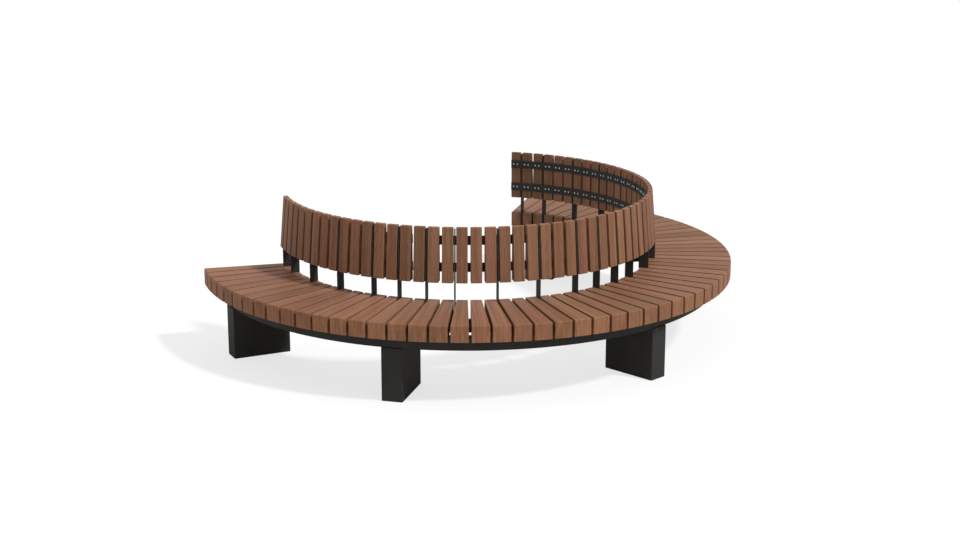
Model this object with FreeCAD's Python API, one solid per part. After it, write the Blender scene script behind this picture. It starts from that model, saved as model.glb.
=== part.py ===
import FreeCAD
import Part
import math
import os

# Curved slatted bench that stands around a tree, in millimetres.
# The origin is on the ground at the centre of the ring, where the trunk stands.
# The bench is alike on both sides of the YZ plane, and its middle faces -Y.

# Ring and its modules
module_count = 4
module_angle = 60.0
slats_per_module = 15
joint_gap = 1.0
seat_clear = 0.3

# Seat
seat_height = 450.0
seat_outer_radius = 1550.0
seat_depth = 482.0
seat_thickness = 90.0
seat_gap = 14.0
nose_radius = 12.0
nose_flat_count = 4

# Back slats: wedges with an upright tree side and an outer face that leans towards the tree
back_from_seat_edge = 43.0
back_gap_above_seat = 101.0
back_slat_height = 296.0
back_slat_gap = 14.0
back_slat_foot_thickness = 52.0
back_edge_ease = 3.0
back_lean = 5.0

# Hoops: flat bars on the tree side of the back slats, bent at each gap
hoop_height = 50.0
hoop_thickness = 6.0
hoop_from_slat_end = 74.5

# Posts: flat plates on edge, in the gaps that follow these slats of each module
slat_counts_before_posts = (1, 3, 6, 9, 12, 14)
post_thickness = 6.0
post_below_slat_top = 8.0
post_recess = 1.5

# Seat rails: channels bent at each gap, which open towards each other
rail_height = 70.0
rail_wall = 5.0
outer_rail_from_seat_edge = 87.0
outer_rail_width = 50.0
inner_rail_from_seat_edge = 42.0
inner_rail_width = 30.0
rail_end_inset = 12.0
end_plate_thickness = 6.0

# Legs
leg_past_outer_rail = 7.0
leg_from_inner_rail = 30.0
leg_width = 115.0
leg_wall = 4.0
leg_corner = 6.0
leg_corner_flat_count = 3
end_leg_angle = 11.0
top_plate_thickness = 8.0
access_from_leg_end = 55.0
access_from_leg_side = 27.5
foot_plate_thickness = 8.0
anchor_from_leg_end = 70.0
anchor_hole_radius = 7.0

# Fasteners, shown by their heads
back_screw_size = 10.0
back_screw_head = 3.5
back_screw_spacing = 25.0
leg_bolt_size = 16.0
leg_bolt_head = 7.0
leg_bolt_from_leg_side = 25.5

# Places that follow from these sizes
slat_pitch = module_angle / slats_per_module
half_pitch = math.radians(slat_pitch / 2)
bench_start = -90.0 - module_count * module_angle / 2
bench_end = -90.0 + module_count * module_angle / 2
slat_bottom = seat_height - seat_thickness
rail_bottom = slat_bottom - rail_height
leg_height = rail_bottom - top_plate_thickness
seat_inner_radius = seat_outer_radius - seat_depth
outer_rail_radius = seat_outer_radius - outer_rail_from_seat_edge
inner_rail_radius = seat_inner_radius + inner_rail_from_seat_edge
leg_outer_radius = outer_rail_radius + leg_past_outer_rail
leg_inner_radius = inner_rail_radius + leg_from_inner_rail
back_bottom_radius = seat_inner_radius + back_from_seat_edge
back_inner_radius = back_bottom_radius - back_slat_foot_thickness
back_bottom = seat_height + back_gap_above_seat
back_slope = math.tan(math.radians(back_lean))
back_slat_width = 2 * back_inner_radius * math.tan(half_pitch) - back_slat_gap
hoop_radius = back_inner_radius - seat_clear
lower_hoop_middle = back_bottom + hoop_from_slat_end
upper_hoop_middle = back_bottom + back_slat_height - hoop_from_slat_end
post_inner_radius = hoop_radius / math.cos(half_pitch) + seat_clear

ORIGIN = FreeCAD.Vector(0, 0, 0)
UP = FreeCAD.Vector(0, 0, 1)
ACROSS = FreeCAD.Vector(0, 1, 0)


def point(x, y, z):
    return FreeCAD.Vector(x, y, z)


def flat(corners):
    """Flat face through the corners, in order."""
    return Part.Face(Part.makePolygon(corners + corners[:1]))


def block(near, far, width, bottom, height):
    """Upright block between two radii along +X."""
    return Part.makeBox(far - near, width, height, point(near, -width / 2, bottom))


def rounding(radius, flat_count):
    """Points of a quarter turn from +X to +Y about the origin, as (across, up) pairs."""
    quarter = math.pi / 2
    angles = [quarter * step / flat_count for step in range(flat_count + 1)]
    return [(radius * math.cos(angle), radius * math.sin(angle)) for angle in angles]


def turned(shape, angle):
    """Copy of a shape that lies along +X, turned about the trunk axis."""
    copy = shape.copy()
    copy.rotate(ORIGIN, UP, angle)
    return copy


def hex_head(across_flats, height):
    """Hexagon prism that stands on the XY plane."""
    radius = across_flats / math.sqrt(3)
    angles = [math.radians(60 * side) for side in range(6)]
    corners = [point(radius * math.cos(a), radius * math.sin(a), 0) for a in angles]
    return flat(corners).extrude(point(0, 0, height))


def write(name, solids):
    shape = solids[0] if len(solids) == 1 else Part.makeCompound(solids)
    shape.exportStep("parts/" + name + ".step")


# Angles of each module's pieces about the trunk axis
def module_start(module):
    return bench_start + module * module_angle


def slat_angles(module):
    return [module_start(module) + (slat + 0.5) * slat_pitch for slat in range(slats_per_module)]


def post_angles(module):
    return [module_start(module) + gap * slat_pitch for gap in slat_counts_before_posts]


def end_insets(module):
    """Distance of the rails' two ends from the ends of their module."""
    first = rail_end_inset if module == 0 else joint_gap / 2
    last = rail_end_inset if module == module_count - 1 else joint_gap / 2
    return first, last


# Seat
def seat_half_width(radius):
    """Half of a seat slat's width, so that the gap beside it stays even."""
    return radius * math.tan(half_pitch) - seat_gap / 2 / math.cos(half_pitch)


def seat_slat():
    """Board that tapers towards the tree, with a rounded nose."""
    inner = seat_half_width(seat_inner_radius)
    outer = seat_half_width(seat_outer_radius)
    wedge = flat([
        point(seat_inner_radius, -inner, slat_bottom),
        point(seat_outer_radius, -outer, slat_bottom),
        point(seat_outer_radius, outer, slat_bottom),
        point(seat_inner_radius, inner, slat_bottom),
    ]).extrude(point(0, 0, seat_thickness))
    nose_x = seat_outer_radius - nose_radius
    nose_z = seat_height - nose_radius
    nose = [point(nose_x + x, -outer, nose_z + z) for x, z in rounding(nose_radius, nose_flat_count)]
    profile = flat(nose + [
        point(seat_inner_radius, -outer, seat_height),
        point(seat_inner_radius, -outer, slat_bottom),
        point(seat_outer_radius, -outer, slat_bottom),
    ]).extrude(point(0, 2 * outer, 0))
    return wedge.common(profile).Solids[0]


# Back slats
def back_slat():
    """Board that is thinner at its top, with its two outer long edges eased."""
    half = back_slat_width / 2
    eased = back_bottom_radius - back_edge_ease
    past_tree_side = back_inner_radius - back_edge_ease
    leaning = flat([
        point(back_bottom_radius, back_edge_ease - half, back_bottom),
        point(back_bottom_radius, half - back_edge_ease, back_bottom),
        point(eased, half, back_bottom),
        point(past_tree_side, half, back_bottom),
        point(past_tree_side, -half, back_bottom),
        point(eased, -half, back_bottom),
    ]).extrude(point(-back_slat_height * back_slope, 0, back_slat_height))
    room = block(
        back_inner_radius,
        back_bottom_radius + back_edge_ease,
        back_slat_width + 2 * back_edge_ease,
        back_bottom - back_edge_ease,
        back_slat_height + 2 * back_edge_ease,
    )
    return leaning.common(room).Solids[0]


# Bars that follow the ring
def bent_bar(outline, module, first, last):
    """Bar with a flat stretch behind each slat of a module and a bend at each gap.

    outline holds the section's corners at the middle of a flat, and first and last are
    the angles by which the bar stops short of the two ends of the module.
    """
    bends = [slat_pitch * gap for gap in range(1, slats_per_module)]
    sections = []
    for angle in [first] + bends + [module_angle - last]:
        off_middle = min(abs(angle - slat_pitch * (slat + 0.5)) for slat in range(slats_per_module))
        stretch = 1 / math.cos(math.radians(off_middle))
        turn = FreeCAD.Rotation(UP, module_start(module) + angle)
        sections.append([turn.multVec(point(corner.x * stretch, 0, corner.z)) for corner in outline])
    faces = [flat(sections[0]), flat(sections[-1])]
    for near, far in zip(sections, sections[1:]):
        for low in range(len(outline)):
            faces.append(flat([near[low - 1], near[low], far[low], far[low - 1]]))
    skin = Part.makeShell(faces)
    skin.sewShape()
    return Part.makeSolid(skin)


def hoop(module, middle):
    """Bar that seats on the slats' tree side and ends level with the first and last slat."""
    low = middle - hoop_height / 2
    high = middle + hoop_height / 2
    outline = [
        point(hoop_radius, 0, low),
        point(hoop_radius, 0, high),
        point(hoop_radius - hoop_thickness, 0, high),
        point(hoop_radius - hoop_thickness, 0, low),
    ]
    inset = slat_pitch / 2 - math.degrees(math.atan(back_slat_width / 2 / hoop_radius))
    return bent_bar(outline, module, inset, inset)


# Posts
def back_post():
    """Plate that stands against the inner rail and rises through the gaps to carry the hoops.

    Its outer edge is upright as far as the back slats, and then leans with them.
    """
    bend_radius = inner_rail_radius / math.cos(half_pitch)
    outer = bend_radius - post_thickness / 2 * math.tan(half_pitch) - seat_clear
    lean_radius = back_bottom_radius - post_recess
    rise = back_slat_height - post_below_slat_top
    bend = back_bottom + (lean_radius - outer) / back_slope
    top = back_bottom + rise
    corners = [
        (post_inner_radius, rail_bottom),
        (outer, rail_bottom),
        (outer, bend),
        (lean_radius - rise * back_slope, top),
        (post_inner_radius, top),
    ]
    side = flat([point(radius, -post_thickness / 2, height) for radius, height in corners])
    return side.extrude(point(0, post_thickness, 0))


# Seat rails
def rail(module, web_radius, width, side):
    """Channel with its web at web_radius and its flanges towards side, 1 out or -1 in."""
    web_inside = web_radius + side * rail_wall
    tip = web_radius + side * width
    outline = [
        point(web_radius, 0, rail_bottom),
        point(web_radius, 0, slat_bottom),
        point(tip, 0, slat_bottom),
        point(tip, 0, slat_bottom - rail_wall),
        point(web_inside, 0, slat_bottom - rail_wall),
        point(web_inside, 0, rail_bottom + rail_wall),
        point(tip, 0, rail_bottom + rail_wall),
        point(tip, 0, rail_bottom),
    ]
    first, last = [math.degrees(math.atan(inset / web_radius)) for inset in end_insets(module)]
    return bent_bar(outline, module, first, last)


def rail_end_plates(module):
    """Plates that tie both rails together at the two ends of a module."""
    first, last = end_insets(module)
    near = inner_rail_radius + rail_wall + seat_clear
    far = outer_rail_radius - rail_wall - seat_clear
    height = rail_height - 2 * rail_wall
    plates = []
    for angle, offset in (
        (module_start(module), first),
        (module_start(module + 1), -last - end_plate_thickness),
    ):
        corner = point(near, offset, rail_bottom + rail_wall)
        plates.append(turned(Part.makeBox(far - near, end_plate_thickness, height, corner), angle))
    return plates


# Legs
def leg():
    """Rectangular steel column with rounded corners, open at both ends."""
    outline = []
    corner_y = leg_width / 2 - leg_corner
    quarter = rounding(leg_corner, leg_corner_flat_count)
    outline += [point(leg_outer_radius - leg_corner + x, corner_y + y, 0) for x, y in quarter]
    outline += [point(leg_inner_radius + leg_corner - y, corner_y + x, 0) for x, y in quarter]
    outline += [point(leg_inner_radius + leg_corner - x, -corner_y - y, 0) for x, y in quarter]
    outline += [point(leg_outer_radius - leg_corner + y, -corner_y - x, 0) for x, y in quarter]
    near = leg_inner_radius + leg_wall
    far = leg_outer_radius - leg_wall
    column = flat(outline).extrude(point(0, 0, leg_height))
    return column.cut(block(near, far, leg_width - 2 * leg_wall, 0, leg_height)).Solids[0]


def leg_top_plate():
    """Plate on the column that carries both rails, with an opening to reach the anchors."""
    sheet = block(inner_rail_radius, leg_outer_radius, leg_width, leg_height, top_plate_thickness)
    corners = [edge for edge in sheet.Edges if edge.BoundBox.ZLength > top_plate_thickness / 2]
    sheet = sheet.makeChamfer(leg_corner, corners)
    near = leg_inner_radius + access_from_leg_end
    far = leg_outer_radius - access_from_leg_end
    width = leg_width - 2 * access_from_leg_side
    return sheet.cut(block(near, far, width, leg_height, top_plate_thickness)).Solids[0]


def foot_plate():
    """Plate inside the foot of the column, with two holes for ground anchors."""
    edge = leg_wall + seat_clear
    near = leg_inner_radius + edge
    far = leg_outer_radius - edge
    sheet = block(near, far, leg_width - 2 * edge, 0, foot_plate_thickness)
    for radius in (leg_inner_radius + anchor_from_leg_end, leg_outer_radius - anchor_from_leg_end):
        sheet = sheet.cut(Part.makeCylinder(anchor_hole_radius, foot_plate_thickness, point(radius, 0, 0)))
    return sheet.Solids[0]


def leg_angles():
    joints = [module_start(module) for module in range(1, module_count)]
    return [bench_start + end_leg_angle] + joints + [bench_end - end_leg_angle]


# Fasteners
def back_screws(module):
    """Pairs of heads on the hoops' tree side, two to a slat."""
    screws = []
    for middle in (lower_hoop_middle, upper_hoop_middle):
        head = hex_head(back_screw_size, back_screw_head)
        head.rotate(ORIGIN, ACROSS, -90)
        head.translate(point(hoop_radius - hoop_thickness - seat_clear, 0, middle))
        half_step = math.degrees(math.atan(back_screw_spacing / 2 / head.CenterOfMass.x))
        for angle in slat_angles(module):
            screws.append(turned(head, angle - half_step))
            screws.append(turned(head, angle + half_step))
    return screws


def flange_middles():
    """Radii of the middle of the inner and the outer rail's free flange width."""
    inner = inner_rail_radius + (inner_rail_width + rail_wall) / 2
    outer = outer_rail_radius - (outer_rail_width + rail_wall) / 2
    return inner, outer


def leg_bolts():
    """Heads on the rails' lower flanges, two to a rail on each leg."""
    head = hex_head(leg_bolt_size, leg_bolt_head)
    head.translate(point(0, 0, rail_bottom + rail_wall))
    across = leg_width / 2 - leg_bolt_from_leg_side
    bolts = []
    for radius in flange_middles():
        for side in (-1, 1):
            placed = head.copy()
            placed.translate(point(radius, side * across, 0))
            bolts += [turned(placed, angle) for angle in leg_angles()]
    return bolts


# Write every piece
os.makedirs("parts", exist_ok=True)
seat_board = seat_slat()
back_board = back_slat()
post = back_post()
for module in range(module_count):
    number = str(module + 1)
    write("seat_slats_" + number, [turned(seat_board, angle) for angle in slat_angles(module)])
    write("back_slats_" + number, [turned(back_board, angle) for angle in slat_angles(module)])
    write("back_posts_" + number, [turned(post, angle) for angle in post_angles(module)])
    write("lower_hoop_" + number, [hoop(module, lower_hoop_middle)])
    write("upper_hoop_" + number, [hoop(module, upper_hoop_middle)])
    write("outer_rail_" + number, [rail(module, outer_rail_radius, outer_rail_width, -1)])
    write("inner_rail_" + number, [rail(module, inner_rail_radius, inner_rail_width, 1)])
    write("rail_end_plates_" + number, rail_end_plates(module))
    write("back_screws_" + number, back_screws(module))

column = leg()
top_plate = leg_top_plate()
foot = foot_plate()
for place, angle in enumerate(leg_angles()):
    number = str(place + 1)
    write("leg_" + number, [turned(column, angle)])
    write("leg_top_plate_" + number, [turned(top_plate, angle)])
    write("foot_plate_" + number, [turned(foot, angle)])
write("leg_bolts", leg_bolts())
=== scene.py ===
import math
import random

import bmesh
import bpy
from mathutils import Matrix, Vector


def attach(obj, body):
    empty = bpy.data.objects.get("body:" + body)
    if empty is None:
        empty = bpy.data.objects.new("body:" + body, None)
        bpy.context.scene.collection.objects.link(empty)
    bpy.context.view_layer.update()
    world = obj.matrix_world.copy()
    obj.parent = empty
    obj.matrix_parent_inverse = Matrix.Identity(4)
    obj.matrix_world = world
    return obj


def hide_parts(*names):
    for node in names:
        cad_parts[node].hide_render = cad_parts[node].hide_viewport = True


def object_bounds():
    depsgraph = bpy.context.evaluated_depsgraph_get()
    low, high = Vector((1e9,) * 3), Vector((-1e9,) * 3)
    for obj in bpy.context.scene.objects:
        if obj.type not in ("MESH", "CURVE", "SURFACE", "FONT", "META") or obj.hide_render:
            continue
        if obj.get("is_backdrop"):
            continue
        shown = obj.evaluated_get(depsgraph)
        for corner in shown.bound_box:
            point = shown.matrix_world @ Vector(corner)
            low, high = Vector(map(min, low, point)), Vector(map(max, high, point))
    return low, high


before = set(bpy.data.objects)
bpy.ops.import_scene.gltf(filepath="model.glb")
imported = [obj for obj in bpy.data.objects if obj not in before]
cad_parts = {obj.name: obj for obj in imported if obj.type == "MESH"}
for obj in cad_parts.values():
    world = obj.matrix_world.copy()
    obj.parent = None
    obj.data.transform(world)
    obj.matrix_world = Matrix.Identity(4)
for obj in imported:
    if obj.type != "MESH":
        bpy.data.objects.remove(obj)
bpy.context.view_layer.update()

# Lengths are in metres. The origin is on the ground at the centre of the ring, and the middle of
# the bench faces -Y. A piece that repeats round the ring is shaped once along +X and then turned.

# Camera: the photograph's own viewing angle, from 2.9 m up and 9.7 m away from the trunk's middle.
camera = bpy.data.objects.new("camera", bpy.data.cameras.new("camera"))
camera.data.sensor_width = 36.0
camera.data.lens = 63.29
camera.data.shift_x = 0.001
camera.data.clip_end = 200.0
camera.location = (-6.8157, -6.9164, 2.9031)
camera.rotation_euler = (math.radians(75.166), 0.0, math.radians(-45.0))
bpy.context.scene.collection.objects.link(camera)
bpy.context.scene.camera = camera


# Seat boards: sixty thick reddish-brown hardwood boards, fifteen to a module, on radial lines. Each
# tapers towards the tree so that the gaps stay even, and has a rounded nose and eased edges. They
# are planed, oiled and screwed to the rails from below, so nothing shows on top.
module_names = ("1", "2", "3", "4")
module_angle = math.radians(60)
slats_per_module = 15
slat_pitch = module_angle / slats_per_module
bench_start = math.radians(-210)

seat_top = 0.450
seat_thickness = 0.090
seat_outer_radius = 1.550
seat_inner_radius = 1.068
seat_outer_half_width = 0.04712
seat_inner_half_width = 0.03029
nose_radius = 0.007
nose_segments = 5
seat_edge_ease = 0.0025

# How near to a plane a vertex lies when it is picked with it.
slack = 0.001

# Where in its log a board may have been cut: along it, and across and up or down from its heart.
log_length = 60
heart_distances = (0.25, 0.7)
heart_depth = 0.12
boards_random = random.Random(19)

dark_wood = (0.165, 0.076, 0.0400, 1)
middle_wood = (0.2535, 0.1215, 0.0670, 1)
light_wood = (0.334, 0.169, 0.0995, 1)
pore_colour = (0.10, 0.042, 0.022, 1)
# Painted light: the boards' fronts and noses are made lighter and warmer, in place of the light that the
# floor throws on them.
painted_front_light_tint = (1.09, 1.05, 1.0, 1)
wood_hues = (0.4935, 0.5065)
wood_values = (0.83, 1.17)
wood_roughness = (0.50, 0.64)
wood_relief = 0.0005

# Scales of the grain's noises along, across and through a board, and how much of the figure each
# noise makes. Nearly all of a noise lies in its middle range.
noise_range = (0.3, 0.7)
streak_scale = (1.3, 75, 10)
fibre_scale = (7, 420, 90)
band_scale = (0.6, 38, 7)
pore_scale = (60, 2100, 1500)
pore_range = (0.58, 0.72)
pore_darkness = 0.35
ring_rate = 850.0
ring_wave = 0.006
streak_share = 0.5
fibre_share = 0.35
ring_share = 0.15


def module_start(module):
    """Angle at which a module begins."""
    return bench_start + module * module_angle


def slat_angles(module):
    """Angles of the middles of a module's boards."""
    return [module_start(module) + (slat + 0.5) * slat_pitch for slat in range(slats_per_module)]


def alone(piece):
    """Select this piece and nothing else, in object mode."""
    if bpy.context.mode != "OBJECT":
        bpy.ops.object.mode_set(mode="OBJECT")
    bpy.ops.object.select_all(action="DESELECT")
    piece.select_set(True)
    bpy.context.view_layer.objects.active = piece


def settle(name):
    """Name the new primitive and move its place, turn and size into its mesh."""
    piece = bpy.context.active_object
    piece.name = name
    piece.data.name = name
    bpy.ops.object.transform_apply(location=True, rotation=True, scale=True)
    return piece


def box(name, low, high):
    """Cube primitive from its low to its high corner, with its place in its mesh."""
    bpy.ops.object.select_all(action="DESELECT")
    low, high = Vector(low), Vector(high)
    bpy.ops.mesh.primitive_cube_add(size=1, location=(low + high) / 2, scale=high - low)
    return settle(name)


def middle(part):
    """Middle of an edge or a face."""
    return sum((corner.co for corner in part.verts), Vector()) / len(part.verts)


def along(edge):
    """Unit vector along an edge."""
    return (edge.verts[1].co - edge.verts[0].co).normalized()


def pick(piece, kind, wanted):
    """In edit mode, select just those vertices, edges or faces of the piece that are wanted."""
    if bpy.context.mode != "EDIT_MESH":
        alone(piece)
        bpy.ops.object.mode_set(mode="EDIT")
    bpy.ops.mesh.select_mode(type=kind)
    bpy.ops.mesh.select_all(action="DESELECT")
    mesh = bmesh.from_edit_mesh(piece.data)
    parts = {"VERT": mesh.verts, "EDGE": mesh.edges, "FACE": mesh.faces}[kind]
    for part in [part for part in parts if wanted(part)]:
        part.select_set(True)
    mesh.select_flush_mode()
    bmesh.update_edit_mesh(piece.data)


def smooth(piece, angle=35):
    """Round shading over the eased edges, with the flats kept flat."""
    alone(piece)
    bpy.ops.object.shade_smooth_by_angle(angle=math.radians(angle))
    weighted = piece.modifiers.new("flats", "WEIGHTED_NORMAL")
    weighted.keep_sharp = True
    bpy.ops.object.modifier_apply(modifier=weighted.name)


def turn(piece, angle):
    """Turn a piece's mesh about the trunk."""
    piece.data.transform(Matrix.Rotation(angle, 4, "Z"))


def copies(piece, angles):
    """Copies of the piece, each with its own mesh, turned about the trunk."""
    made = []
    for angle in angles:
        copy = bpy.data.objects.new(piece.name, piece.data.copy())
        turn(copy, angle)
        bpy.context.scene.collection.objects.link(copy)
        made.append(copy)
    return made


def join(name, parts):
    """Make one piece of the parts."""
    alone(parts[0])
    for part in parts:
        part.select_set(True)
    if len(parts) > 1:
        bpy.ops.object.join()
    piece = bpy.context.active_object
    piece.name = name
    piece.data.name = name
    return piece


def drop(*pieces):
    """Take away what was only a pattern for its copies."""
    for piece in pieces:
        bpy.data.objects.remove(piece)


def fit(piece, finish, slot, *replaced):
    """Give a piece its finish, hang it on the root body, and hide the pieces of the frame that it stands
    for.
    """
    piece.data.materials.append(finish)
    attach(piece, "root")
    if replaced:
        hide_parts(*replaced)


def board_grain(parts, length_axis, width_axis):
    """Give each board its own place in the log, and its own tone.

    grain runs along the board in x. Its y and z are measured from the heart of the log.
    """
    depth_axis = length_axis.cross(width_axis)
    for part in parts:
        x_shift = boards_random.uniform(0, log_length)
        y_shift = boards_random.choice((-1, 1)) * boards_random.uniform(*heart_distances)
        z_shift = boards_random.uniform(-heart_depth, heart_depth)
        tone = boards_random.gauss(0, 1)
        redness = boards_random.gauss(0, 1)
        shape = part.data
        grain = shape.attributes.new("grain", "FLOAT_VECTOR", "POINT")
        for vertex, value in zip(shape.vertices, grain.data):
            place = vertex.co
            value.vector = (
                place.dot(length_axis) + x_shift,
                place.dot(width_axis) + y_shift,
                place.dot(depth_axis) + z_shift,
            )
        for name, number in (("tone", tone), ("redness", redness)):
            values = shape.attributes.new(name, "FLOAT", "POINT").data
            values.foreach_set("value", [number] * len(values))


def lay_boards(pattern, name, length_axis, node_name):
    """Copy a board round each module. Its grain is set before it is turned to its place."""
    for module, number in enumerate(module_names):
        boards = copies(pattern, [0] * slats_per_module)
        board_grain(boards, length_axis, Vector((0, 1, 0)))
        for board, angle in zip(boards, slat_angles(module)):
            turn(board, angle)
        fit(join(name + number, boards), hardwood, "hardwood", node_name + number)
    drop(pattern)


def node(tree, kind, inputs=(), **options):
    """Add a shader node with its options, and set or wire its inputs by name or number."""
    made = tree.nodes.new(kind)
    for name, value in options.items():
        setattr(made, name, value)
    for name, value in dict(inputs).items():
        if isinstance(value, bpy.types.NodeSocket):
            tree.links.new(value, made.inputs[name])
        else:
            made.inputs[name].default_value = value
    return made


def material(name):
    """New material, its node tree and its shader."""
    made = bpy.data.materials.new(name)
    made.use_nodes = True
    return made, made.node_tree, made.node_tree.nodes["Principled BSDF"]


def attribute(tree, name, output="Fac"):
    """Read one of the boards' own values."""
    return node(tree, "ShaderNodeAttribute", attribute_name=name).outputs[output]


def noise(tree, place, scale, detail, roughness=0.5):
    """Noise stretched by three scales."""
    stretched = node(tree, "ShaderNodeMapping", {"Vector": place, "Scale": scale})
    inputs = {"Vector": stretched.outputs[0], "Scale": 1.0, "Detail": detail, "Roughness": roughness}
    return node(tree, "ShaderNodeTexNoise", inputs).outputs["Fac"]


def maths(tree, operation, first, second=0.0):
    """One step of arithmetic."""
    return node(tree, "ShaderNodeMath", {0: first, 1: second}, operation=operation).outputs[0]


def span(tree, value, from_low, from_high, to_low, to_high):
    """Map a value from one range to another."""
    inputs = {"Value": value, "From Min": from_low, "From Max": from_high}
    inputs.update({"To Min": to_low, "To Max": to_high})
    return node(tree, "ShaderNodeMapRange", inputs).outputs["Result"]


def mix(tree, mask, first, second, blend_type="MIX"):
    """Colour that goes from the first to the second as the mask goes from 0 to 1."""
    inputs = {0: mask, 6: first, 7: second}
    return node(tree, "ShaderNodeMix", inputs, data_type="RGBA", blend_type=blend_type).outputs[2]


def wire(tree, shader, colour, roughness, height, strength, distance):
    """Give a shader its colour, its roughness and its relief."""
    bump = node(tree, "ShaderNodeBump", {"Strength": strength, "Distance": distance, "Height": height})
    tree.links.new(colour, shader.inputs["Base Color"])
    tree.links.new(roughness, shader.inputs["Roughness"])
    tree.links.new(bump.outputs[0], shader.inputs["Normal"])


def growth_rings(tree, grain, streaks):
    """Faint wavy rings round the heart of the log."""
    parts = node(tree, "ShaderNodeSeparateXYZ", {0: grain})
    across = node(tree, "ShaderNodeCombineXYZ", {1: parts.outputs[1], 2: parts.outputs[2]})
    from_heart = node(tree, "ShaderNodeVectorMath", {0: across.outputs[0]}, operation="LENGTH")
    waves = span(tree, streaks, 0.0, 1.0, -ring_wave, ring_wave)
    wavy = maths(tree, "ADD", from_heart.outputs["Value"], waves)
    return maths(tree, "SINE", maths(tree, "MULTIPLY", wavy, ring_rate))


def oiled_hardwood():
    """Straight-grained wood with streaks, fibres and pores, and painted light that makes the boards'
    fronts and noses lighter.

    Each board has its own tone and redness, and slow bands of its own within it.
    """
    made, tree, shader = material("oiled_hardwood")
    grain = attribute(tree, "grain", "Vector")
    streaks = noise(tree, grain, streak_scale, 3.0, 0.55)
    fibres = noise(tree, grain, fibre_scale, 4.0, 0.6)
    bands = span(tree, noise(tree, grain, band_scale, 2.0), *noise_range, -1.0, 1.0)
    rings = growth_rings(tree, grain, streaks)

    figure = span(tree, streaks, *noise_range, 0.0, streak_share)
    figure = maths(tree, "ADD", figure, span(tree, fibres, *noise_range, 0.0, fibre_share))
    figure = maths(tree, "ADD", figure, span(tree, rings, -1.0, 1.0, 0.0, ring_share))
    ramp = node(tree, "ShaderNodeValToRGB", {"Fac": figure})
    first, last = ramp.color_ramp.elements
    first.position, first.color = 0.1, dark_wood
    last.position, last.color = 0.95, light_wood
    ramp.color_ramp.elements.new(0.5).color = middle_wood

    hue = maths(tree, "ADD", attribute(tree, "redness"), bands)
    value = maths(tree, "SUBTRACT", attribute(tree, "tone"), bands)
    toned = node(tree, "ShaderNodeHueSaturation", {
        "Color": ramp.outputs["Color"],
        "Hue": span(tree, hue, -2.0, 2.0, *wood_hues),
        "Value": span(tree, value, -2.0, 2.0, *wood_values),
    })
    pores = span(tree, noise(tree, grain, pore_scale, 1.0), *pore_range, 0.0, pore_darkness)
    colour = mix(tree, pores, toned.outputs[0], pore_colour)
    # Painted light: the colour is multiplied lighter on the boards' fronts and noses.
    colour = mix(tree, attribute(tree, "painted_front_light"), colour, painted_front_light_tint, "MULTIPLY")
    roughness = span(tree, fibres, *noise_range, *wood_roughness)
    wire(tree, shader, colour, roughness, maths(tree, "SUBTRACT", fibres, pores), 0.35, wood_relief)
    shader.inputs["Specular IOR Level"].default_value = 0.12
    return made


hardwood = oiled_hardwood()

seat_board = box(
    "seat_board",
    (seat_inner_radius, -seat_outer_half_width, seat_top - seat_thickness),
    (seat_outer_radius, seat_outer_half_width, seat_top),
)
pick(seat_board, "VERT", lambda v: v.co.x < seat_inner_radius + slack)
bpy.ops.transform.resize(value=(1, seat_inner_half_width / seat_outer_half_width, 1))
pick(seat_board, "EDGE", lambda e: (
    middle(e).x > seat_outer_radius - slack and middle(e).z > seat_top - slack
))
bpy.ops.mesh.bevel(offset=nose_radius, segments=nose_segments, affect="EDGES")
pick(seat_board, "EDGE", lambda e: abs(along(e).y) < 0.5 and (
    min(v.co.z for v in e.verts) > seat_top - slack
    or min(v.co.x for v in e.verts) > seat_outer_radius - nose_radius - slack
))
bpy.ops.mesh.bevel(offset=seat_edge_ease, segments=2, affect="EDGES")
smooth(seat_board)
# Painted light mask: 1 on the board's front face, falling to 0 across the nose. The fronts are painted
# lighter where it is 1.
painted_front_light = seat_board.data.attributes.new("painted_front_light", "FLOAT", "POINT").data
from_nose = [(v.co.x - seat_outer_radius) / nose_radius + 1 for v in seat_board.data.vertices]
painted_front_light.foreach_set("value", [max(0.0, share) for share in from_nose])
lay_boards(seat_board, "seat_boards_", Vector((1, 0, 0)), "seat_slats_")


# Back boards: sixty boards of the same wood, one behind each seat board, that stand clear of the
# seat. Each is a wedge, with an upright tree side and an outer face that leans towards the tree.
# Their edges and corners are eased, and they are screwed to the two bands from the tree side.
back_outer_radius = 1.111
back_tree_radius = 1.059
back_foot = 0.551
back_height = 0.296
back_width = 0.05996
back_lean = math.radians(5)
back_edge_ease = 0.003
back_tree_ease = 0.001

# The same as slack, for finer shapes.
fine_slack = 0.0001

back_board = box(
    "back_board",
    (back_tree_radius, -back_width / 2, back_foot),
    (back_outer_radius, back_width / 2, back_foot + back_height),
)
pick(back_board, "VERT", lambda v: v.co.x > back_outer_radius - slack and v.co.z > back_foot + slack)
bpy.ops.transform.translate(value=(-back_height * math.tan(back_lean), 0, 0))
pick(back_board, "EDGE", lambda e: max(v.co.x for v in e.verts) > back_tree_radius + slack)
bpy.ops.mesh.bevel(offset=back_edge_ease, segments=3, affect="EDGES")
pick(back_board, "EDGE", lambda e: max(v.co.x for v in e.verts) < back_tree_radius + fine_slack)
bpy.ops.mesh.bevel(offset=back_tree_ease, segments=1, affect="EDGES")
smooth(back_board)
lay_boards(back_board, "back_boards_", Vector((0, 0, 1)), "back_slats_")


# Back bands: two flat steel bars of 50 by 6 mm to a module, rolled to the curve of the back. They
# lie on the boards' tree side, end level with the first and the last board, and have their edges
# broken before they are powder coated in matt black.
band_radius = 1.0587
band_height = 0.050
band_thickness = 0.006
band_middles = {"lower": 0.6255, "upper": 0.7725}
band_edge = 0.0007
section_depth = 0.010
roll_steps = 2 * slats_per_module
dark_coat = (0.028, 0.0270, 0.0245, 1)
light_coat = (0.037, 0.0360, 0.0335, 1)


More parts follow.
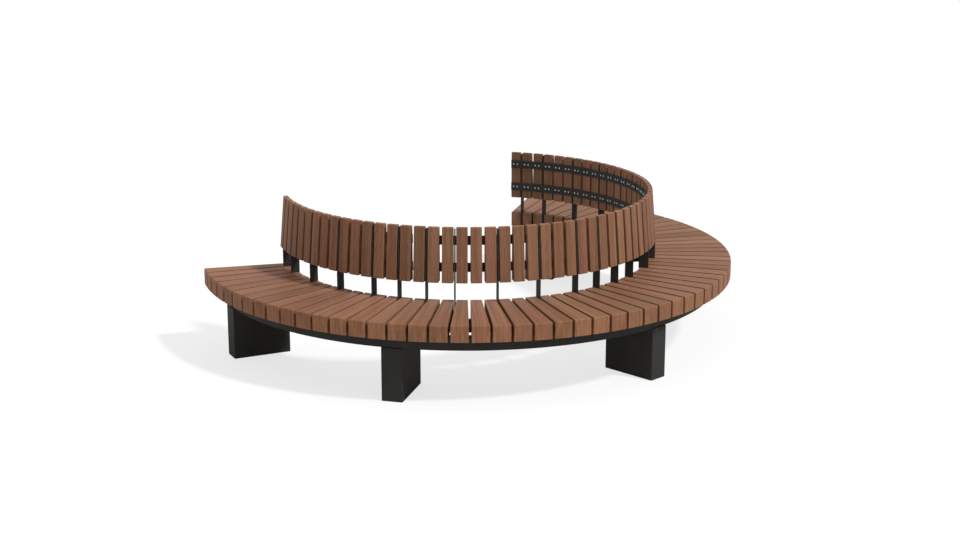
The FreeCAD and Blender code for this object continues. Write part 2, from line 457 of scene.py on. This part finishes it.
def mottle():
    """Group that gives slow clouds and fine grains, each from 0 to 1, over a surface."""
    group = bpy.data.node_groups.new("mottle", "ShaderNodeTree")
    for name, start in (("Cloud Scale", 6.0), ("Grain Scale", 900.0)):
        socket = group.interface.new_socket(name, in_out="INPUT", socket_type="NodeSocketFloat")
        socket.default_value = start
    for name in ("Cloud", "Grain"):
        group.interface.new_socket(name, in_out="OUTPUT", socket_type="NodeSocketFloat")
    scales = node(group, "NodeGroupInput")
    result = node(group, "NodeGroupOutput")
    place = node(group, "ShaderNodeTexCoord").outputs["Object"]
    for name in ("Cloud", "Grain"):
        inputs = {"Vector": place, "Scale": scales.outputs[name + " Scale"], "Detail": 3.0}
        spots = node(group, "ShaderNodeTexNoise", inputs).outputs["Fac"]
        group.links.new(span(group, spots, *noise_range, 0.0, 1.0), result.inputs[name])
    return group


def metal(name, scales, colours, roughness, strength, distance):
    """Finish whose colour and roughness follow slow clouds, with fine grains for its relief."""
    made, tree, shader = material(name)
    placed = node(tree, "ShaderNodeGroup", node_tree=mottle_group)
    placed.inputs["Cloud Scale"].default_value, placed.inputs["Grain Scale"].default_value = scales
    cloud, grains = placed.outputs["Cloud"], placed.outputs["Grain"]
    colour = mix(tree, cloud, *colours)
    wire(tree, shader, colour, span(tree, cloud, 0.0, 1.0, *roughness), grains, strength, distance)
    return made, shader


def section(name, low, high):
    """Upright rectangle at +X, from its low to its high corner, that becomes a rolled bar."""
    bpy.ops.object.select_all(action="DESELECT")
    place = ((low[0] + high[0]) / 2, 0, (low[1] + high[1]) / 2)
    bpy.ops.mesh.primitive_plane_add(size=1, location=place, rotation=(math.radians(90), 0, 0))
    bpy.context.active_object.scale = (high[0] - low[0], high[1] - low[1], 1)
    return settle(name)


def give_wall(piece, wall):
    """Thicken a sheet on the side away from its face."""
    alone(piece)
    solid = piece.modifiers.new("wall", "SOLIDIFY")
    solid.thickness = wall
    solid.offset = -1.0
    solid.use_even_offset = True
    bpy.ops.object.modifier_apply(modifier=solid.name)


def break_edges(piece, width, segments):
    """Take the sharpness off a metal piece's edges."""
    alone(piece)
    broken = piece.modifiers.new("edges", "BEVEL")
    broken.width = width
    broken.segments = segments
    broken.angle_limit = math.radians(40)
    bpy.ops.object.modifier_apply(modifier=broken.name)


def roll(piece, start, end, facing, wall, edge):
    """Roll an open section round the trunk into a bar that has this wall, and break its edges.

    facing is 1 where the section is the bar's outer face, and -1 where it is its tree side.
    """
    turn(piece, start)
    pick(piece, "VERT", lambda v: True)
    bpy.ops.mesh.spin(steps=roll_steps, angle=end - start, center=(0, 0, 0), axis=(0, 0, -1))
    bpy.ops.mesh.select_all(action="SELECT")
    bpy.ops.mesh.remove_doubles(threshold=1e-6)
    bpy.ops.mesh.normals_make_consistent(inside=False)
    bpy.ops.object.mode_set(mode="OBJECT")
    web = max(piece.data.polygons, key=lambda face: abs(face.normal.xy.dot(face.center.xy)))
    if web.normal.xy.dot(web.center.xy) * facing < 0:
        bpy.ops.object.mode_set(mode="EDIT")
        bpy.ops.mesh.select_all(action="SELECT")
        bpy.ops.mesh.flip_normals()
        bpy.ops.object.mode_set(mode="OBJECT")
    give_wall(piece, wall)
    break_edges(piece, edge, 2)
    smooth(piece)


mottle_group = mottle()
black_steel, shader = metal(
    "black_powder_coat",
    scales=(9.0, 1100.0),
    colours=(dark_coat, light_coat),
    roughness=(0.52, 0.62),
    strength=0.25,
    distance=0.0002,
)
shader.inputs["Specular IOR Level"].default_value = 0.15

band_inset = slat_pitch / 2 - math.atan(back_width / 2 / band_radius)
for level, band_middle in band_middles.items():
    for module, number in enumerate(module_names):
        low, high = band_middle - band_height / 2, band_middle + band_height / 2
        band = section(level + "_band_" + number, (band_radius - section_depth, low), (band_radius, high))
        pick(band, "VERT", lambda v: v.co.x < band_radius - slack)
        bpy.ops.mesh.delete(type="VERT")
        bpy.ops.object.mode_set(mode="OBJECT")
        start = module_start(module)
        roll(band, start + band_inset, start + module_angle - band_inset, 1, band_thickness, band_edge)
        fit(band, black_steel, "black_steel", level + "_hoop_" + number)


# Back posts: six laser-cut 6 mm plates to a module, on edge in the gaps between boards. Each stands
# against the inner rail and rises past the seat to carry both bands on its tree side. Its outer
# edge is upright at first and then leans with the boards.
post_gaps = (1, 3, 6, 9, 12, 14)
post_thickness = 0.006
post_tree_side = 1.0593
post_seat_side = 1.1102
post_foot = 0.290
post_bend = 0.542
post_top = 0.839
post_top_seat_side = 1.0843
post_edge = 0.0006


def post_angles(module):
    """Angles of the gaps of a module that hold a post."""
    return [module_start(module) + slat_pitch * gap for gap in post_gaps]


post = box(
    "post",
    (post_tree_side, -post_thickness / 2, post_foot),
    (post_seat_side, post_thickness / 2, post_top),
)
pick(post, "FACE", lambda f: True)
bpy.ops.mesh.bisect(plane_co=(0, 0, post_bend), plane_no=(0, 0, 1))
pick(post, "VERT", lambda v: v.co.z > post_top - slack and v.co.x > post_tree_side + slack)
bpy.ops.transform.translate(value=(post_top_seat_side - post_seat_side, 0, 0))
bpy.ops.object.mode_set(mode="OBJECT")
break_edges(post, post_edge, 1)
smooth(post)

for module, number in enumerate(module_names):
    posts = join("posts_" + number, copies(post, post_angles(module)))
    fit(posts, black_steel, "black_steel", "back_posts_" + number)
drop(post)


# Seat rails: an outer and an inner steel channel to a module, rolled to the curve, which open
# towards each other. The boards lie on their upper flanges, and their corners are slightly rounded.
rail_top = seat_top - seat_thickness
rail_height = 0.070
rail_wall = 0.005
rail_corner = 0.002
rail_edge = 0.0008
rail_webs = {"outer": 1.463, "inner": 1.1103}
rail_flanges = {"outer": -0.050, "inner": 0.030}
rail_end_inset = 0.012
joint_gap = 0.001


def rail_insets(module):
    """Distances of the rails' two ends from the ends of their module."""
    first = rail_end_inset if module == 0 else joint_gap / 2
    last = rail_end_inset if module == len(module_names) - 1 else joint_gap / 2
    return first, last


for place, web in rail_webs.items():
    tip = web + rail_flanges[place]
    for module, number in enumerate(module_names):
        near, far = sorted((web, tip))
        rail = section(place + "_channel_" + number, (near, rail_top - rail_height), (far, rail_top))
        pick(rail, "EDGE", lambda e: abs(middle(e).x - tip) < slack)
        bpy.ops.mesh.delete(type="EDGE_FACE")
        pick(rail, "VERT", lambda v: abs(v.co.x - web) < slack)
        bpy.ops.mesh.bevel(offset=rail_corner, segments=3, affect="VERTICES")
        bpy.ops.object.mode_set(mode="OBJECT")
        first, last = rail_insets(module)
        start = module_start(module)
        facing = 1 if tip < web else -1
        roll(rail, start + first / web, start + module_angle - last / web, facing, rail_wall, rail_edge)
        fit(rail, black_steel, "black_steel", place + "_rail_" + number)


# Rail end plates: a flat plate across each end of a module, between the two rails, which keeps
# them apart and lets two modules stand end to end on one leg.
end_plate_thickness = 0.006
end_plate_clear = 0.0003
plate_edge = 0.0006

for module, number in enumerate(module_names):
    first, last = rail_insets(module)
    ends = []
    for angle, near in ((0, first), (module_angle, -last - end_plate_thickness)):
        low = (rail_webs["inner"] + rail_wall, near, rail_top - rail_height + rail_wall)
        far = near + end_plate_thickness
        high = (rail_webs["outer"] - rail_wall - end_plate_clear, far, rail_top - rail_wall)
        end = box("end", low, high)
        break_edges(end, plate_edge, 1)
        smooth(end)
        turn(end, module_start(module) + angle)
        ends.append(end)
    fit(join("end_plates_" + number, ends), black_steel, "black_steel", "rail_end_plates_" + number)


# Legs: five steel columns of 330 by 115 mm, made from folded 4 mm sheet with rounded corners. One
# stands under each joint between modules, and one a little way in from each end of the bench.
leg_tree_side = 1.140
leg_seat_side = 1.470
leg_width = 0.115
leg_height = 0.282
leg_corner = 0.006
leg_wall = 0.004
leg_edge = 0.0005
leg_angles = [math.radians(angle) for angle in (-199, -150, -90, -30, 19)]


def upright(edge):
    """Whether an edge stands upright."""
    return abs(along(edge).z) > 0.9


column = box("column", (leg_tree_side, -leg_width / 2, 0), (leg_seat_side, leg_width / 2, leg_height))
pick(column, "FACE", lambda f: abs(f.normal.z) > 0.9)
bpy.ops.mesh.delete(type="ONLY_FACE")
pick(column, "EDGE", upright)
bpy.ops.mesh.bevel(offset=leg_corner, segments=5, affect="EDGES")
give_wall(column, leg_wall)
break_edges(column, leg_edge, 1)
smooth(column)
for leg, angle in enumerate(leg_angles, 1):
    placed = join("column_" + str(leg), copies(column, [angle]))
    fit(placed, black_steel, "black_steel", "leg_" + str(leg))
drop(column)


# Leg top plates: an 8 mm plate welded on each column. It reaches back under the inner rail, so it
# carries both rails, and has an opening through which the ground anchors are reached.
top_plate_top = 0.290
access_low = (1.195, -0.030)
access_high = (1.415, 0.030)
access_corner = 0.008
cutter_overlap = 0.010


def cut_out(piece, cutter):
    """Cut the cutter's shape out of the piece, and take the cutter away."""
    alone(piece)
    cut = piece.modifiers.new("cut", "BOOLEAN")
    cut.operation = "DIFFERENCE"
    cut.object = cutter
    bpy.ops.object.modifier_apply(modifier=cut.name)
    drop(cutter)


top_plate = box(
    "top_plate",
    (rail_webs["inner"], -leg_width / 2, leg_height),
    (leg_seat_side, leg_width / 2, top_plate_top),
)
pick(top_plate, "EDGE", upright)
bpy.ops.mesh.bevel(offset=leg_corner, segments=4, affect="EDGES")
bpy.ops.object.mode_set(mode="OBJECT")
access = box(
    "access",
    (*access_low, leg_height - cutter_overlap),
    (*access_high, top_plate_top + cutter_overlap),
)
pick(access, "EDGE", upright)
bpy.ops.mesh.bevel(offset=access_corner, segments=3, affect="EDGES")
cut_out(top_plate, access)
break_edges(top_plate, plate_edge, 1)
smooth(top_plate)
for leg, angle in enumerate(leg_angles, 1):
    placed = join("top_plate_" + str(leg), copies(top_plate, [angle]))
    fit(placed, black_steel, "black_steel", "leg_top_plate_" + str(leg))
drop(top_plate)


# Foot plates: an 8 mm plate inside the foot of each column, with two holes for ground anchors.
# They keep the frame's own shape and are coated with the rest of the steel.
for leg in range(1, len(leg_angles) + 1):
    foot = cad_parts["foot_plate_" + str(leg)]
    foot.data.materials.clear()
    foot.data.materials.append(black_steel)


# Back screws: 240 stainless button heads, two to a board on each band, driven from the tree side
# through the band. Each has a domed head with a drive sunk into it.
screw_radius = 0.005
screw_height = 0.0035
screw_dome = 0.0022
screw_rim = 0.0008
screw_drive_depth = 0.0018
screw_spacing = 0.025
screw_clear = 0.0002
dark_stainless = (0.56, 0.55, 0.53, 1)
light_stainless = (0.66, 0.655, 0.64, 1)


def drum(name, sides, radius, low, high):
    """Cylinder primitive round the Z axis, from its low to its high end."""
    bpy.ops.object.select_all(action="DESELECT")
    place = (0, 0, (low + high) / 2)
    bpy.ops.mesh.primitive_cylinder_add(vertices=sides, radius=radius, depth=high - low, location=place)
    return settle(name)


def sink_drive(rim, depth):
    """Sink a recess into the picked face of a screw's head, and go back to object mode."""
    bpy.ops.mesh.inset(thickness=rim)
    bpy.ops.mesh.extrude_region_move(TRANSFORM_OT_translate={"value": (0, 0, depth)})
    bpy.ops.object.mode_set(mode="OBJECT")


def on_top(face, height):
    """Whether a face is the flat top at this height."""
    return face.normal.z > 0.9 and middle(face).z > height - fine_slack


def copy_at(piece, place):
    """Copy of the piece, moved to its place before it is turned round the trunk."""
    copy = copies(piece, [0])[0]
    copy.data.transform(Matrix.Translation(place))
    return copy


stainless, shader = metal(
    "stainless_steel",
    scales=(60.0, 2500.0),
    colours=(dark_stainless, light_stainless),
    roughness=(0.24, 0.36),
    strength=0.15,
    distance=0.0001,
)
shader.inputs["Metallic"].default_value = 1.0

screw = drum("screw", 12, screw_radius, 0, screw_height)
pick(screw, "EDGE", lambda e: middle(e).z > screw_height - fine_slack)
bpy.ops.mesh.bevel(offset=screw_dome, segments=2, affect="EDGES")
pick(screw, "FACE", lambda f: on_top(f, screw_height))
sink_drive(screw_rim, -screw_drive_depth)
smooth(screw)
screw.data.transform(Matrix.Rotation(math.radians(-90), 4, "Y"))

screw_place = band_radius - band_thickness - screw_clear
half_step = math.atan(screw_spacing / 2 / screw_place)
screws = [copy_at(screw, (screw_place, 0, band_middle)) for band_middle in band_middles.values()]
for module, number in enumerate(module_names):
    angles = [angle + step for angle in slat_angles(module) for step in (-half_step, half_step)]
    heads = [head for placed in screws for head in copies(placed, angles)]
    fit(join("band_screws_" + number, heads), stainless, "stainless_screw", "back_screws_" + number)
drop(screw, *screws)


# Weld beads: the posts are welded to the inner rail and to both bands, with an upright bead on each
# side. The beads have the ripples that the torch leaves and are coated with the rest of the steel.
bead_sides = 6
bead_ripples = 9
bead_waist = 0.86
bead_clear = 0.0002
rail_bead_place = post_seat_side - 0.0001
rail_bead_radius = 0.0024
rail_bead_length = 0.062
band_bead_place = band_radius + 0.0003
band_bead_radius = 0.0019
band_bead_length = 0.038

bead_places = [(rail_bead_place, rail_top - rail_height / 2, rail_bead_radius, rail_bead_length)]
for band_middle in band_middles.values():
    bead_places.append((band_bead_place, band_middle, band_bead_radius, band_bead_length))
beads = []
for place, height, bead_radius, length in bead_places:
    bead = drum("bead", bead_sides, bead_radius, -length / 2, length / 2)
    pick(bead, "EDGE", upright)
    bpy.ops.mesh.subdivide(number_cuts=bead_ripples)
    step = length / (bead_ripples + 1)
    pick(bead, "VERT", lambda v: round((v.co.z + length / 2) / step) % 2 == 0)
    bpy.ops.transform.resize(value=(bead_waist, bead_waist, 1))
    bpy.ops.object.mode_set(mode="OBJECT")
    smooth(bead, 60)
    for side in (-1, 1):
        beads.append(copy_at(bead, (place, side * (post_thickness / 2 + bead_clear), height)))
    drop(bead)
for module, number in enumerate(module_names):
    parts = [part for placed in beads for part in copies(placed, post_angles(module))]
    fit(join("weld_beads_" + number, parts), black_steel, "black_steel")
drop(*beads)


# Leg bolts: four zinc plated hexagon bolts with washers to a leg, through the rails' lower flanges
# and the leg's top plate.
bolt_across_flats = 0.016
bolt_height = 0.007
bolt_rim = 0.0012
bolt_bevel = 0.0007
washer_radius = 0.0103
washer_height = 0.0016
washer_edge = 0.0003
bolt_radii = (1.1278, 1.4353)
bolt_side = 0.032
dark_zinc = (0.40, 0.41, 0.41, 1)
light_zinc = (0.56, 0.565, 0.56, 1)

zinc, shader = metal(
    "zinc_plate",
    scales=(90.0, 1600.0),
    colours=(dark_zinc, light_zinc),
    roughness=(0.34, 0.52),
    strength=0.25,
    distance=0.0001,
)
shader.inputs["Metallic"].default_value = 1.0

bolt_radius = bolt_across_flats / math.sqrt(3)
bolt_floor = rail_top - rail_height + rail_wall
washer = drum("washer", 24, washer_radius, 0, washer_height)
break_edges(washer, washer_edge, 1)
smooth(washer)
bolt_head = drum("bolt_head", 6, bolt_radius, washer_height, bolt_height)
pick(bolt_head, "FACE", lambda f: on_top(f, bolt_height))
bpy.ops.mesh.inset(thickness=bolt_rim)
pick(bolt_head, "VERT", lambda v: (
    v.co.z > bolt_height - fine_slack and v.co.xy.length > bolt_radius - bolt_rim / 3
))
bpy.ops.transform.translate(value=(0, 0, -bolt_bevel))
bpy.ops.object.mode_set(mode="OBJECT")
smooth(bolt_head)
bolt = join("bolt", [bolt_head, washer])
bolts = []
for radius in bolt_radii:
    for side in (-bolt_side, bolt_side):
        placed = copy_at(bolt, (radius, side, bolt_floor))
        bolts += copies(placed, leg_angles)
        drop(placed)
drop(bolt)
fit(join("rail_bolts", bolts), zinc, "galvanised_bolt", "leg_bolts")


# Seat screws: three stainless pan heads to a board, driven up through the rails' upper flanges, so
# they are seen only from below.
seat_screw_radius = 0.0045
seat_screw_height = 0.0025
seat_screw_dome = 0.0012
seat_screw_rim = 0.0014
seat_screw_drive_depth = 0.0012
seat_screw_places = ((1.1300, 0.0), (1.4353, -0.018), (1.4353, 0.018))

seat_screw_top = rail_top - rail_wall
seat_screw_foot = seat_screw_top - seat_screw_height
seat_screw = drum("seat_screw", 10, seat_screw_radius, seat_screw_foot, seat_screw_top)
pick(seat_screw, "EDGE", lambda e: middle(e).z < seat_screw_foot + fine_slack)
bpy.ops.mesh.bevel(offset=seat_screw_dome, segments=2, affect="EDGES")
pick(seat_screw, "FACE", lambda f: f.normal.z < -0.9 and middle(f).z < seat_screw_foot + fine_slack)
sink_drive(seat_screw_rim, seat_screw_drive_depth)
smooth(seat_screw)
for module, number in enumerate(module_names):
    heads = []
    for radius, side in seat_screw_places:
        placed = copy_at(seat_screw, (radius, side, 0))
        heads += copies(placed, slat_angles(module))
        drop(placed)
    fit(join("seat_screws_" + number, heads), stainless, "stainless_screw")
drop(seat_screw)


# Floor and light: a plain pale floor under one soft lamp, in an even white room. The camera sees the
# floor as paper that glows to just under white, so it keeps the bench's shadow, and all other light
# meets grey paint.
floor_size = 80
floor_grey = (0.60, 0.60, 0.60, 1)
paper_grey = (0.31, 0.31, 0.31, 1)
paper_glow = 0.712
room_light = 0.54
room_seen = 1.0
lamp_strength = 2.25
lamp_width = math.radians(6)
lamp_azimuth = math.radians(-74.2)
lamp_elevation = math.radians(49.4)

bpy.ops.object.select_all(action="DESELECT")
bpy.ops.mesh.primitive_plane_add(size=floor_size)
floor = settle("floor")
floor_paint, tree, shader = material("pale_floor")
shader.inputs["Base Color"].default_value = floor_grey
shader.inputs["Roughness"].default_value = 0.9
shader.inputs["Specular IOR Level"].default_value = 0.0
seen = node(tree, "ShaderNodeLightPath")
paper = node(tree, "ShaderNodeBsdfDiffuse", {"Color": paper_grey})
glow = node(tree, "ShaderNodeEmission", {"Color": (1, 1, 1, 1), "Strength": paper_glow})
white = node(tree, "ShaderNodeAddShader", {0: paper.outputs[0], 1: glow.outputs[0]})
picture = node(tree, "ShaderNodeMixShader", {
    0: seen.outputs["Is Camera Ray"],
    1: shader.outputs[0],
    2: white.outputs[0],
})
tree.links.new(picture.outputs[0], tree.nodes["Material Output"].inputs["Surface"])
floor.data.materials.append(floor_paint)
floor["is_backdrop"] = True

world = bpy.data.worlds.new("studio")
world.use_nodes = True
bpy.context.scene.world = world
tree = world.node_tree
background = tree.nodes["Background"]
background.inputs["Color"].default_value = (1, 1, 1, 1)
seen = node(tree, "ShaderNodeLightPath")
plain = maths(tree, "MAXIMUM", seen.outputs["Is Camera Ray"], seen.outputs["Is Glossy Ray"])
plain = maths(tree, "MAXIMUM", plain, seen.outputs["Is Transmission Ray"])
tree.links.new(span(tree, plain, 0.0, 1.0, room_light, room_seen), background.inputs["Strength"])

lamp = bpy.data.objects.new("key", bpy.data.lights.new("key", "SUN"))
lamp.data.energy = lamp_strength
lamp.data.angle = lamp_width
towards_lamp = Vector((
    math.cos(lamp_azimuth) * math.cos(lamp_elevation),
    math.sin(lamp_azimuth) * math.cos(lamp_elevation),
    math.sin(lamp_elevation),
))
lamp.rotation_euler = towards_lamp.to_track_quat("Z", "Y").to_euler()
bpy.context.scene.collection.objects.link(lamp)

bpy.context.scene.view_settings.view_transform = "Standard"

low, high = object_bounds()
